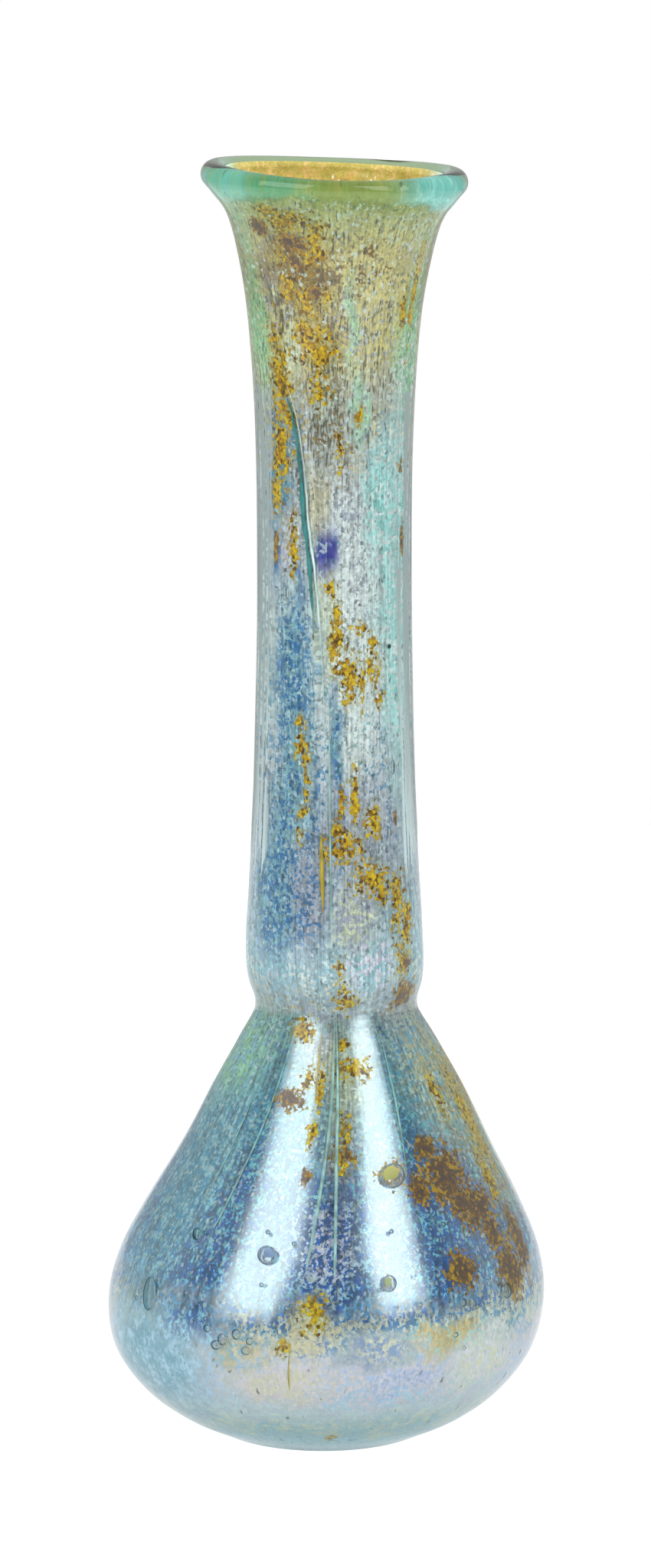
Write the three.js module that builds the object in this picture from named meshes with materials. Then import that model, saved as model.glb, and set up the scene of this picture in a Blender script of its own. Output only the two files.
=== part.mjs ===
// Roman "candlestick" unguentarium: a small perfume flask of free-blown glass, drawn from one gather.
// Low bell-shaped body, a pinched throat, a tall neck, and a flared mouth whose edge is folded inward.
// Millimetres, +Z up, origin at the centre of the footprint.

import * as THREE from 'three';
import { mergeVertices } from 'three/addons/utils/BufferGeometryUtils.js';

// Foot
const footRadius = 9; // outer edge of the flat that the flask stands on
const kickRadius = 6; // shallow hollow pushed up into the middle of the foot
const kickDepth = 0.8;

// Folded lip, taken through its thick left and right sides
const lipHeight = 118.2; // middle of the fold
const lipRing = 11.05; // radius of the ring that the fold's middle runs on
const lipRadius = 1.23; // half the fold's thickness
const lipStart = -45; // where the outer wall runs into the fold, in degrees below level
const lipEnd = 200; // where the fold comes back to the inner wall
const lipThinning = 0.33; // how much thinner the fold is at the front and back
const lipReach = 6; // how far down the wall the thinning fades out

// The gather wandered while it was blown: the neck stands beside the body's middle, and the lip leans
const footShift = -0.27;
const shoulderShift = 1.13;
const neckShift = 0.82;
const lipLean = 0.4; // left side of the lip up, right side down
const lipDip = 0.22; // front of the lip up, back down
const lipLeanFrom = 100; // height at which the lean begins

// Outer outline as [height, radius] from the foot up. A smooth curve passes through the points.
const outerOutline = [
  [0, footRadius],
  [0.6, 10.5],
  [2.2, 13.8],
  [4.8, 17.15],
  [8.5, 19.7],
  [13, 20.5], // belly, the widest ring
  [17.5, 19.6],
  [22, 17.5],
  [27.5, 14.5],
  [33, 11.75],
  [37.5, 9.25],
  [40.7, 7.6], // throat
  [43.5, 8.2],
  [47, 8.3], // swelling at the foot of the neck
  [54, 7.9],
  [64, 7.45],
  [80, 7.15], // slimmest part of the neck
  [95, 7.3],
  [105, 7.95],
  [111, 8.9],
  [114.6, 9.9],
  [116.4, 11.15],
];

// Inner outline as [height, radius] from under the fold down to the floor of the hollow
const innerOutline = [
  [116.9, 9.75], // crease under the fold
  [115.8, 9.2],
  [114, 8.35],
  [110.5, 7.4],
  [105, 6.6],
  [95, 5.95],
  [80, 5.8],
  [64, 6.05],
  [54, 6.45],
  [47.3, 6.8],
  [44, 6.6],
  [41, 5.85], // throat
  [38, 7.1],
  [33.5, 9.4],
  [28, 12.2],
  [22.5, 15.2],
  [17.8, 17.5],
  [13.2, 18.5],
  [9, 17.9],
  [5.8, 15.6],
  [4, 12.2],
  [3.1, 7.5],
];
const floorHeight = 3; // top of the floor on the axis

// Fineness
const sides = 44;
const outerSteps = 2; // facets between two points of the outer outline
const innerSteps = 1;
const lipSteps = 9;

// Smooth curve through an outline, as points of (radius, height)
function curveThrough(outline, steps) {
  const points = outline.map(([height, radius]) => new THREE.Vector2(radius, height));
  return new THREE.SplineCurve(points).getPoints((outline.length - 1) * steps);
}

// The round of the fold, from the outer wall over the top to the inner wall
function lipArc() {
  const points = [];
  for (let i = 0; i <= lipSteps; i++) {
    const turn = THREE.MathUtils.degToRad(THREE.MathUtils.lerp(lipStart, lipEnd, i / lipSteps));
    points.push(new THREE.Vector2(
      lipRing + lipRadius * Math.cos(turn),
      lipHeight + lipRadius * Math.sin(turn),
    ));
  }
  return points;
}

// Closed section of the glass: up the outside, over the fold, down the inside
function glassSection() {
  return [
    new THREE.Vector2(0, kickDepth),
    new THREE.Vector2(kickRadius / 2, kickDepth * 0.75),
    new THREE.Vector2(kickRadius, 0),
    ...curveThrough(outerOutline, outerSteps),
    ...lipArc(),
    ...curveThrough(innerOutline, innerSteps),
    new THREE.Vector2(0, floorHeight),
  ];
}

// How far the middle of the flask stands to the right at a height
function sidewaysShift(height) {
  const { lerp, smoothstep } = THREE.MathUtils;
  const body = lerp(footShift, shoulderShift, smoothstep(height, 3.5, 32.5));
  return body + (neckShift - shoulderShift) * smoothstep(height, 36, 48);
}

// Carries a point of the true round form to where the hand-made one has it
function handShape(point) {
  const { smoothstep } = THREE.MathUtils;
  const angle = Math.atan2(point.y, point.x);
  const radius = Math.hypot(point.x, point.y);
  const nearLip = smoothstep(point.z, lipHeight - lipReach, lipHeight - lipRadius);
  const thickness = 1 - lipThinning * nearLip * Math.sin(angle) ** 2;
  const lean = smoothstep(point.z, lipLeanFrom, lipHeight - lipRadius);
  const wall = lipRing + (radius - lipRing) * thickness;
  const height = lipHeight + (point.z - lipHeight) * thickness;
  return new THREE.Vector3(
    wall * Math.cos(angle) + sidewaysShift(point.z),
    wall * Math.sin(angle),
    height - lean * (lipLean * Math.cos(angle) + lipDip * Math.sin(angle)),
  );
}

// The whole flask as one closed surface
function flaskGeometry() {
  const lathe = new THREE.LatheGeometry(glassSection(), sides);
  lathe.rotateX(Math.PI / 2);
  lathe.deleteAttribute('normal');
  lathe.deleteAttribute('uv');
  const geometry = mergeVertices(lathe, 1e-4);
  const position = geometry.getAttribute('position');
  const point = new THREE.Vector3();
  for (let i = 0; i < position.count; i++) {
    point.fromBufferAttribute(position, i);
    if (Math.hypot(point.x, point.y) > 1e-6) point.copy(handShape(point));
    else point.x = sidewaysShift(point.z);
    position.setXYZ(i, point.x, point.y, point.z);
  }
  geometry.computeVertexNormals();
  return geometry;
}

const seaGreenGlass = new THREE.MeshStandardMaterial({
  name: 'weathered sea-green glass',
  color: 0x9cc7c4,
  roughness: 0.15,
  metalness: 0,
  transparent: true,
  opacity: 0.6,
});

const unguentarium = new THREE.Group();
unguentarium.name = 'unguentarium';

const flask = new THREE.Mesh(flaskGeometry(), seaGreenGlass);
flask.name = 'flask';
unguentarium.add(flask);

export default unguentarium;
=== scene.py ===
# A Roman unguentarium: a small perfume flask of free-blown sea-green glass, its hollow coated by burial
# with pearly weathering and brown crusts. One piece of glass, with no stopper or stand.

import math

import bmesh
import bpy
import numpy as np
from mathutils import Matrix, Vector, noise


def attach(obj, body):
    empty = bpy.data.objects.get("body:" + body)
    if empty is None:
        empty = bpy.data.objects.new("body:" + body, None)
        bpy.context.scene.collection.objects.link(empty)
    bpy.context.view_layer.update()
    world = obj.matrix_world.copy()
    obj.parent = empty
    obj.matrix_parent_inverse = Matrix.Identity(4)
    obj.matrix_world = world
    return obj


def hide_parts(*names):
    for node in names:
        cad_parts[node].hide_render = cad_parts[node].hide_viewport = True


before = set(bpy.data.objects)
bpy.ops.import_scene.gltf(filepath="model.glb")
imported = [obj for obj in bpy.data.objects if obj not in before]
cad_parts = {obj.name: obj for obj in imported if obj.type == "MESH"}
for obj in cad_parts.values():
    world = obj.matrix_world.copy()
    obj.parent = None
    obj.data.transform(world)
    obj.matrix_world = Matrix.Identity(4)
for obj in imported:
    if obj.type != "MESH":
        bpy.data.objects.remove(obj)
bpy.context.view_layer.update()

# ---- Camera ------------------------------------------------------------------------------------------
# A long lens, well back from the flask and above its lip, so that it looks slightly down and sees only
# a sliver of the mouth.
MM = 0.001
camera_distance = 800 * MM
camera_height = 211 * MM
aim_height = 61.6 * MM
lens_length = 201
sensor_width = 36
camera_data = bpy.data.cameras.new("camera")
camera_data.lens = lens_length
camera_data.sensor_width = sensor_width
camera_data.clip_start = 0.05
camera = bpy.data.objects.new("camera", camera_data)
bpy.context.scene.collection.objects.link(camera)
camera.location = (0, -camera_distance, camera_height)
sight = Vector((0, 0, aim_height)) - camera.location
camera.rotation_euler = sight.to_track_quat("-Z", "Y").to_euler()
bpy.context.scene.camera = camera

# ---- Flask: sections of the glass and of its weathering ------------------------------------------------
# The flask was blown from one gather, pinched at the throat, and its hot edge folded inward into a thick
# lip. Outlines are (height, radius) in millimetres: the outer one from the foot up, the inner one down.
FOOT_RADIUS = 9
KICK_RADIUS = 6
KICK_DEPTH = 0.8
LIP_HEIGHT = 118.2
LIP_RING = 11.05
LIP_RADIUS = 1.23
LIP_START = -45
LIP_END = 200
LIP_STEPS = 12
LIP_REACH = 6
TINT_FROM = 112
TINT_FULL = 117
FLOOR_HEIGHT = 3
OUTER_OUTLINE = [
    (0, FOOT_RADIUS), (0.6, 10.5), (2.2, 13.8), (4.8, 17.15), (8.5, 19.7), (13, 20.5), (17.5, 19.6),
    (22, 17.5), (27.5, 14.5), (33, 11.75), (37.5, 9.25), (40.7, 7.6), (43.5, 8.2), (47, 8.3), (54, 7.9),
    (64, 7.45), (80, 7.15), (95, 7.3), (105, 7.95), (111, 8.9), (114.6, 9.9), (116.4, 11.15),
]
INNER_OUTLINE = [
    (116.9, 9.75), (115.8, 9.2), (114, 8.35), (110.5, 7.4), (105, 6.6), (95, 5.95), (80, 5.8),
    (64, 6.05), (54, 6.45), (47.3, 6.8), (44, 6.6), (41, 5.85), (38, 7.1), (33.5, 9.4), (28, 12.2),
    (22.5, 15.2), (17.8, 17.5), (13.2, 18.5), (9, 17.9), (5.8, 15.6), (4, 12.2), (3.1, 7.5),
    (FLOOR_HEIGHT, 0),
]


def lip_arc(start, steps):
    """The round of the fold, from this turn in degrees over the top to the inner wall."""
    turns = [math.radians(start + (LIP_END - start) * i / steps) for i in range(steps + 1)]
    return [(LIP_HEIGHT + LIP_RADIUS * math.sin(t), LIP_RING + LIP_RADIUS * math.cos(t)) for t in turns]


def inset(outline, depth):
    """The outline moved into the hollow by depth, square to itself."""
    moved = []
    for i, (height, radius) in enumerate(outline):
        before, after = outline[max(i - 1, 0)], outline[min(i + 1, len(outline) - 1)]
        along = Vector((after[0] - before[0], after[1] - before[1])).normalized()
        moved.append((height + abs(along.y) * depth, max(radius + along.x * depth, 0)))
    return moved


foot = [(KICK_DEPTH, 0), (KICK_DEPTH * 0.75, KICK_RADIUS / 2), (0, KICK_RADIUS), (0, 7.5)]
glass_section = foot + OUTER_OUTLINE + lip_arc(LIP_START, LIP_STEPS) + INNER_OUTLINE


# ---- Flask: the lathe --------------------------------------------------------------------------------
# One tree turns a section about the axis into a closed wall, as the gather turned on the blowpipe, and
# gives its surface the faint unevenness of blown glass.
def add_node(tree, kind, links=None, **settings):
    """A node of this kind with its settings, its sockets linked to another node's or given a value."""
    made = tree.nodes.new(kind)
    for name, value in settings.items():
        setattr(made, name, value)
    for socket, source in (links or {}).items():
        if isinstance(source, bpy.types.Node):
            source = next(o for o in source.outputs if o.enabled)
        if isinstance(source, bpy.types.NodeSocket):
            tree.links.new(source, made.inputs[socket])
        else:
            made.inputs[socket].default_value = source
    return made


def new_tree(name, inputs):
    """A Geometry Nodes tree with these named inputs, and its input sockets by name."""
    tree = bpy.data.node_groups.new(name, "GeometryNodeTree")
    for label, kind in inputs:
        tree.interface.new_socket(label, in_out="INPUT", socket_type="NodeSocket" + kind)
    tree.interface.new_socket("Geometry", in_out="OUTPUT", socket_type="NodeSocketGeometry")
    return tree, add_node(tree, "NodeGroupInput").outputs


lathe, given = new_tree("lathe", [
    ("Section", "Geometry"), ("Segments", "Int"), ("Smoothing", "Int"), ("Unevenness", "Float"),
    ("Uneven Size", "Float"), ("Material", "Material"),
])
line = add_node(lathe, "GeometryNodeMeshToCurve", {"Mesh": given["Section"]})
line = add_node(lathe, "GeometryNodeCurveSplineType", {"Curve": line}, spline_type="CATMULL_ROM")
line = add_node(lathe, "GeometryNodeSetSplineResolution", {0: line, "Resolution": given["Smoothing"]})
line = add_node(lathe, "GeometryNodeCurveToMesh", {"Curve": line})
rows = add_node(lathe, "GeometryNodeAttributeDomainSize", {"Geometry": line}).outputs["Point Count"]
columns = add_node(lathe, "FunctionNodeIntegerMath", {0: given["Segments"], 1: 1}, operation="ADD")
sheet = add_node(lathe, "GeometryNodeMeshGrid", {"Vertices X": columns, "Vertices Y": rows})
index = add_node(lathe, "GeometryNodeInputIndex")
row = add_node(lathe, "FunctionNodeIntegerMath", {0: index, 1: rows}, operation="MODULO")
column = add_node(lathe, "FunctionNodeIntegerMath", {0: index, 1: rows}, operation="DIVIDE_FLOOR")
turn = add_node(lathe, "ShaderNodeMath", {0: column, 1: given["Segments"]}, operation="DIVIDE")
turn = add_node(lathe, "ShaderNodeMath", {0: turn, 1: math.tau}, operation="MULTIPLY")
place = add_node(lathe, "GeometryNodeInputPosition")
place = add_node(lathe, "GeometryNodeSampleIndex", {"Geometry": line, "Value": place, "Index": row},
                 data_type="FLOAT_VECTOR")
place = add_node(lathe, "ShaderNodeVectorRotate", {"Vector": place, "Angle": turn}, rotation_type="Z_AXIS")
wall = add_node(lathe, "GeometryNodeSetPosition", {"Geometry": sheet.outputs["Mesh"], "Position": place})
wall = add_node(lathe, "GeometryNodeMergeByDistance", {"Geometry": wall, "Distance": 0.002 * MM})
place = add_node(lathe, "GeometryNodeInputPosition")
scale = add_node(lathe, "ShaderNodeMath", {0: 1.0, 1: given["Uneven Size"]}, operation="DIVIDE")
bumps = add_node(lathe, "ShaderNodeTexNoise", {"Vector": place, "Scale": scale, "Detail": 3.0})
bumps = add_node(lathe, "ShaderNodeMath", {0: bumps.outputs[0], 1: 0.5}, operation="SUBTRACT")
bumps = add_node(lathe, "ShaderNodeMath", {0: bumps, 1: given["Unevenness"]}, operation="MULTIPLY")
outward = add_node(lathe, "ShaderNodeVectorMath", {0: place, 1: (1, 1, 0)}, operation="MULTIPLY")
outward = add_node(lathe, "ShaderNodeVectorMath", {0: outward}, operation="NORMALIZE")
outward = add_node(lathe, "ShaderNodeVectorMath", {0: outward, "Scale": bumps}, operation="SCALE")
above_foot = add_node(lathe, "ShaderNodeSeparateXYZ", {0: place}).outputs["Z"]
above_foot = add_node(lathe, "FunctionNodeCompare", {0: above_foot, 1: 2 * MM}, operation="GREATER_THAN")
wall = add_node(lathe, "GeometryNodeSetPosition",
                {"Geometry": wall, "Selection": above_foot, "Offset": outward})
wall = add_node(lathe, "GeometryNodeSetShadeSmooth", {"Geometry": wall})
wall = add_node(lathe, "GeometryNodeRealizeInstances", {"Geometry": wall})
wall = add_node(lathe, "GeometryNodeSetMaterial", {"Geometry": wall, "Material": given["Material"]})
add_node(lathe, "NodeGroupOutput", {0: wall})


def made_by(tree, base, **inputs):
    """The mesh that the tree makes from the base mesh with these inputs."""
    worker = bpy.data.objects.new("worker", base)
    bpy.context.scene.collection.objects.link(worker)
    modifier = worker.modifiers.new(tree.name, "NODES")
    modifier.node_group = tree
    sockets = {s.name.replace(" ", "_"): s.identifier for s in tree.interface.items_tree}
    for name, value in inputs.items():
        modifier[sockets[name]] = value
    view = bpy.context.evaluated_depsgraph_get()
    mesh = bpy.data.meshes.new_from_object(worker.evaluated_get(view))
    bpy.data.objects.remove(worker)
    bpy.data.meshes.remove(base)
    return mesh


def smoothstep(value, low, high):
    """0 up to low and 1 from high on, with an even passage between them."""
    t = np.clip((value - low) / (high - low), 0, 1)
    return t * t * (3 - 2 * t)


# The neck stands a little beside the body's middle, and the lip leans and is thinner front and back.
FOOT_SHIFT = -0.27
SHOULDER_SHIFT = 1.4
THROAT_SHIFT = -0.31
LIP_THINNING = 0.33
LEAN_RIGHT = 0.4
LEAN_BACK = 0.22


def hand_shaped(points):
    """Where the hand-made flask has the points of the true round one, in millimetres."""
    x, y, z = points.T
    angle = np.arctan2(y, x)
    radius = np.hypot(x, y)
    off_axis = smoothstep(radius, 0, 0.01)
    near_lip = smoothstep(z, LIP_HEIGHT - LIP_REACH, LIP_HEIGHT - LIP_RADIUS)
    thickness = 1 - LIP_THINNING * near_lip * np.sin(angle) ** 2
    lean = off_axis * smoothstep(z, 100, LIP_HEIGHT - LIP_RADIUS)
    wall = off_axis * (LIP_RING + (radius - LIP_RING) * thickness)
    height = LIP_HEIGHT + (z - LIP_HEIGHT) * thickness
    shift = FOOT_SHIFT + SHOULDER_SHIFT * smoothstep(z, 3.5, 32.5) + THROAT_SHIFT * smoothstep(z, 36, 48)
    tilt = lean * (LEAN_RIGHT * np.cos(angle) + LEAN_BACK * np.sin(angle))
    return np.stack([wall * np.cos(angle) + shift, wall * np.sin(angle), height - tilt], axis=1)


UNEVENNESS = 0.12
UNEVEN_SIZE = 9


def turned(name, section, segments, smoothing, material):
    """A mesh turned from its section, and its points in millimetres while they are still true round."""
    base = bpy.data.meshes.new(name)
    points = [(radius * MM, 0, height * MM) for height, radius in section]
    base.from_pydata(points, [(i, i + 1) for i in range(len(points) - 1)], [])
    mesh = made_by(lathe, base, Segments=segments, Smoothing=smoothing, Unevenness=UNEVENNESS * MM,
                   Uneven_Size=UNEVEN_SIZE * MM, Material=material)
    mesh.name = name
    flat = np.empty(len(mesh.vertices) * 3)
    mesh.vertices.foreach_get("co", flat)
    return mesh, flat.reshape(-1, 3) / MM


def set_points(mesh, points):
    """Move the mesh's points to these places in millimetres."""
    mesh.vertices.foreach_set("co", (points * MM).ravel())
    mesh.update()


def stand(mesh):
    """An object at the origin that holds the mesh."""
    piece = bpy.data.objects.new(mesh.name, mesh)
    bpy.context.scene.collection.objects.link(piece)
    return piece


# ---- Flask: the glass -----------------------------------------------------------------------------------
# Soda-lime glass, free-blown, coloured a pale sea green by iron in its sand. It is clear, so that it
# shows its green only at the lip and along the edges, where the eye looks through more of it.
def linear(hex_colour):
    """An sRGB hex colour as linear RGBA."""
    parts = [int(hex_colour[i:i + 2], 16) / 255 for i in (1, 3, 5)]
    return [p / 12.92 if p <= 0.04045 else ((p + 0.055) / 1.055) ** 2.4 for p in parts] + [1]


glass = bpy.data.materials.new("sea_green_blown_glass")
glass.use_nodes = True
tree = glass.node_tree
shader = tree.nodes["Principled BSDF"]
shader.inputs["Roughness"].default_value = 0.1
shader.inputs["IOR"].default_value = 1.5
shader.inputs["Transmission Weight"].default_value = 1
here = add_node(tree, "ShaderNodeTexCoord").outputs["Object"]
here = add_node(tree, "ShaderNodeSeparateXYZ", {0: here}).outputs
near_lip = add_node(tree, "ShaderNodeMapRange", {"Value": here["Z"], 1: TINT_FROM * MM, 2: TINT_FULL * MM})
at_back = add_node(tree, "ShaderNodeMapRange", {"Value": here["Y"], 1: -2 * MM, 2: 5 * MM})
lip_tint = add_node(tree, "ShaderNodeMix",
                    {"Factor": at_back, 6: linear("#cdebe1"), 7: linear("#aebe9a")}, data_type="RGBA")
tint = add_node(tree, "ShaderNodeMix",
                {"Factor": near_lip, 6: linear("#ffffff"), 7: lip_tint.outputs[2]}, data_type="RGBA")
tree.links.new(tint.outputs[2], shader.inputs["Base Color"])
absorption = add_node(tree, "ShaderNodeVolumeAbsorption", {"Color": (0, 0.52, 0.5, 1), "Density": 118.0})
tree.links.new(absorption.outputs[0], tree.nodes["Material Output"].inputs["Volume"])

GLASS_SEGMENTS = 256
GLASS_SMOOTHING = 5
glass_mesh, points = turned("flask_glass", glass_section, GLASS_SEGMENTS, GLASS_SMOOTHING, glass)

# A seam stands proud down the left of the neck, in points of height and angle. The tool that folded the
# lip left dents in it, at an angle and a height, each with its size and its depth. Only the outer face
# of the neck lies beyond its radius below, and has the seam.
SEAM = [(67, -8), (76.8, -13), (83, -18), (87.4, -23), (91.6, -26), (96.6, -32), (100, -40)]
SEAM_WIDTH = 0.34
SEAM_HEIGHT = 0.3
OUTER_FACE_FROM = 6.7
LIP_DENTS = [
    (30, 118.3, 0.9, 0.25), (40, 118.9, 0.7, 0.3), (47, 117.6, 0.9, 0.3), (12, 117.4, 1.6, 0.15),
    (-20, 119, 2.2, 0.2), (-66, 117.9, 1.8, -0.3), (70, 117.6, 1.6, -0.2), (150, 118.6, 2.0, 0.25),
]
radius = np.hypot(points[:, 0], points[:, 1])
angle = np.degrees(np.arctan2(points[:, 0], -points[:, 1]))
height = points[:, 2]
off_seam = np.radians(angle - np.interp(height, *zip(*SEAM))) * radius
along_seam = smoothstep(height, 67, 74) * (1 - smoothstep(height, 96, 100))
raised = SEAM_HEIGHT * along_seam * np.exp(-(off_seam / SEAM_WIDTH) ** 2) * (radius > OUTER_FACE_FROM)
for dent_angle, dent_height, size, depth in LIP_DENTS:
    away = np.radians((angle - dent_angle + 180) % 360 - 180) * radius
    dent = depth * np.exp(-(away ** 2 + (height - dent_height) ** 2) / size ** 2)
    raised -= dent * (radius > LIP_RING)
points[:, :2] *= (1 + raised / np.maximum(radius, 1))[:, None]
set_points(glass_mesh, hand_shaped(points))
flask = stand(glass_mesh)

# ---- Weathering ----------------------------------------------------------------------------------------
# Burial has leached the inside of the wall into a thin pearly film, with brown crusts of soil and iron
# grown on it. The film has come a hair's breadth off the glass, and the crusts still grip it.
FILM_GAP = 0.06
FILM_DEPTH = 0.25
FILM_START = 150
FILM_FACE_STEPS = 12
FILM_BACK_STEPS = 4
FILM_SEGMENTS = 230
CRUST_GRIP = 0.16

KHAKI = "#dfc787"
CREAM = "#e2dabb"
SAND = "#d3a95c"
BLUSH = "#d8c3a6"
PEARL = "#ebe6e4"
PINK_LILAC = "#ead8ea"
LILAC_GREY = "#b9b2c0"
OLIVE = "#b3a652"
UMBER = "#8f6226"
PALE_PINK = "#ffe9f4"
PALE_CREAM = "#f8dfc0"
PALE_BLUE = "#cfe2f4"
AQUA = "#a6dad6"
SEA_GREEN = "#a3d09c"
POWDER_BLUE = "#8fb8c6"
ROYAL_BLUE = "#3a7ab6"
VIOLET = "#3f3aa8"
DEEP_BLUE = "#0660ba"
STEEL_TEAL = "#2f8fb4"

# Bands up the wall: height, ground, flecks, share of flecks, share of dark specks, lustre.
# Their colours are partly the film's own and partly painted light, here and in the washes below:
# deep blue of the body is partly painted shade, the dark studio front that it would reflect.
# the pale pastels low in the belly are partly a painted reflection of the white floor, and the
BANDS = [
    (3.0, PALE_BLUE, STEEL_TEAL, 0.3, 0.0, 0.4),
    (4.5, "#bcd8e6", "#f8e4c8", 0.45, 0.0, 0.3),
    (8.0, "#fbd8e2", "#b4cff0", 0.5, 0.0, 0.3),
    (11.0, "#f8d8d8", "#cfc8f0", 0.45, 0.0, 0.3),
    (12.8, "#e6d4c4", STEEL_TEAL, 0.42, 0.05, 0.4),
    (15.0, "#d6c4ac", DEEP_BLUE, 0.52, 0.1, 0.6),
    (17.0, DEEP_BLUE, "#86d0ee", 0.42, 0.1, 1.0),
    (26.0, DEEP_BLUE, "#7ed4de", 0.42, 0.1, 1.0),
    (34.0, STEEL_TEAL, "#70c4da", 0.45, 0.05, 1.0),
    (39.5, POWDER_BLUE, DEEP_BLUE, 0.3, 0.0, 0.9),
    (41.0, LILAC_GREY, SAND, 0.3, 0.1, 0.3),
    (45.0, POWDER_BLUE, PEARL, 0.4, 0.0, 0.3),
    (58.0, LILAC_GREY, ROYAL_BLUE, 0.3, 0.05, 0.3),
    (72.0, PEARL, POWDER_BLUE, 0.4, 0.05, 0.3),
    (88.0, PEARL, LILAC_GREY, 0.5, 0.1, 0.25),
    (96.0, LILAC_GREY, KHAKI, 0.5, 0.4, 0.15),
    (103.0, KHAKI, LILAC_GREY, 0.3, 0.4, 0.05),
    (115.0, KHAKI, CREAM, 0.4, 0.35, 0.0),
    (116.5, OLIVE, KHAKI, 0.3, 0.0, 0.0),
]
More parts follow.
